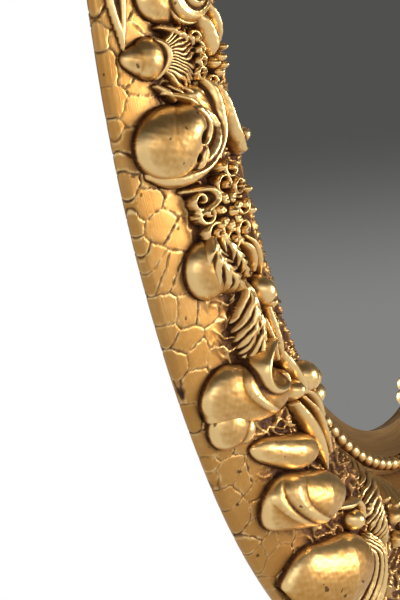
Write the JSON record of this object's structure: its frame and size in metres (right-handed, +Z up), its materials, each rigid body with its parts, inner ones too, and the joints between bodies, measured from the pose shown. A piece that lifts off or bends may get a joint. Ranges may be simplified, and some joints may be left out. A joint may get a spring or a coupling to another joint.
{
  "type": "oval mirror",
  "caption": "Oval wall mirror in a broad crackled gilt frame with applied scrolls, leaves, rosettes and beading, hung upright to reflect a room or a face.",
  "frame": {"origin": "centre of the oval on the wall plane, in the plane of the wall bumpers' faces", "axes": "+Z up along the oval's long axis, -Y forward out of the glass, +X to the right of someone facing the mirror"},
  "size_m": [0.5108, 0.052, 0.599],
  "materials": {
    "gilt_wood": "crackled gilding rubbed with brown, on a carved wooden moulding",
    "gilt_slip": "smooth dark gilding on a turned wooden cove",
    "gilt_ornament": "cast composition ornament, gilded, burnished on the high points and dark in the hollows",
    "silvered_glass": "clear float glass, silvered on the back",
    "board": "plain brown hardboard",
    "steel": "zinc-plated sheet and wire",
    "rubber": "matt black"
  },
  "bodies": {
    "frame": {"frame_ring": "gilt_wood", "sight_slip": "gilt_slip", "mirror_glass": "silvered_glass", "backing_board": "board", "button_screws": "steel", "hanger_straps": "steel", "hanger_screws": "steel", "wall_bumpers": "rubber", "bead_strips": "gilt_ornament", "side_scrolls": "gilt_ornament", "side_pearls": "gilt_ornament", "leaf_bosses": "gilt_ornament", "boss_leaves": "gilt_ornament", "domed_volutes": "gilt_ornament", "volute_tails": "gilt_ornament", "acanthus_sprays": "gilt_ornament", "hook_scrolls": "gilt_ornament", "rosettes": "gilt_ornament", "s_curls": "gilt_ornament", "shell_domes": "gilt_ornament", "shell_ribs": "gilt_ornament", "feather_leaves": "gilt_ornament", "edge_pearls": "gilt_ornament", "upper_scrolls": "gilt_ornament", "inner_lobes": "gilt_ornament", "long_stems": "gilt_ornament", "pearl_drops": "gilt_ornament", "small_domes": "gilt_ornament", "middle_domes": "gilt_ornament", "banded_scrolls": "gilt_ornament", "large_scrolls": "gilt_ornament", "pinnate_leaves": "gilt_ornament", "cartouche_pearls": "gilt_ornament", "reeded_curls": "gilt_ornament", "dart_pearls": "gilt_ornament", "side_plaques": "gilt_ornament", "side_shells": "gilt_ornament", "end_plaques": "gilt_ornament", "end_shells": "gilt_ornament"},
    "turn_button_1": {"turn_button_1": "steel"},
    "turn_button_2": {"turn_button_2": "steel"},
    "turn_button_3": {"turn_button_3": "steel"},
    "turn_button_4": {"turn_button_4": "steel"},
    "turn_button_5": {"turn_button_5": "steel"},
    "turn_button_6": {"turn_button_6": "steel"},
    "hanger_ring_right": {"hanger_ring_right": "steel"},
    "hanger_ring_left": {"hanger_ring_left": "steel"}
  },
  "joints": [
    {"name": "turn_button_pivot_1", "type": "hinge", "parent": "frame", "child": "turn_button_1", "pos_m": [0.13701, -0.005, 0.12686], "axis": [0, 1, 0], "continuous": true},
    {"name": "turn_button_pivot_2", "type": "hinge", "parent": "frame", "child": "turn_button_2", "pos_m": [0, -0.005, 0.215], "axis": [0, 1, 0], "continuous": true},
    {"name": "turn_button_pivot_3", "type": "hinge", "parent": "frame", "child": "turn_button_3", "pos_m": [-0.13701, -0.005, 0.12686], "axis": [0, 1, 0], "continuous": true},
    {"name": "turn_button_pivot_4", "type": "hinge", "parent": "frame", "child": "turn_button_4", "pos_m": [-0.13701, -0.005, -0.12686], "axis": [0, 1, 0], "continuous": true},
    {"name": "turn_button_pivot_5", "type": "hinge", "parent": "frame", "child": "turn_button_5", "pos_m": [0, -0.005, -0.215], "axis": [0, 1, 0], "continuous": true},
    {"name": "turn_button_pivot_6", "type": "hinge", "parent": "frame", "child": "turn_button_6", "pos_m": [0.13701, -0.005, -0.12686], "axis": [0, 1, 0], "continuous": true},
    {"name": "hanger_right_pivot", "type": "hinge", "parent": "frame", "child": "hanger_ring_right", "pos_m": [0.1919, -0.00285, 0.09], "axis": [0, 0, -1], "range_deg": [0, 180]},
    {"name": "hanger_left_pivot", "type": "hinge", "parent": "frame", "child": "hanger_ring_left", "pos_m": [-0.1919, -0.00285, 0.09], "axis": [0, 0, 1], "range_deg": [0, 180]}
  ]
}
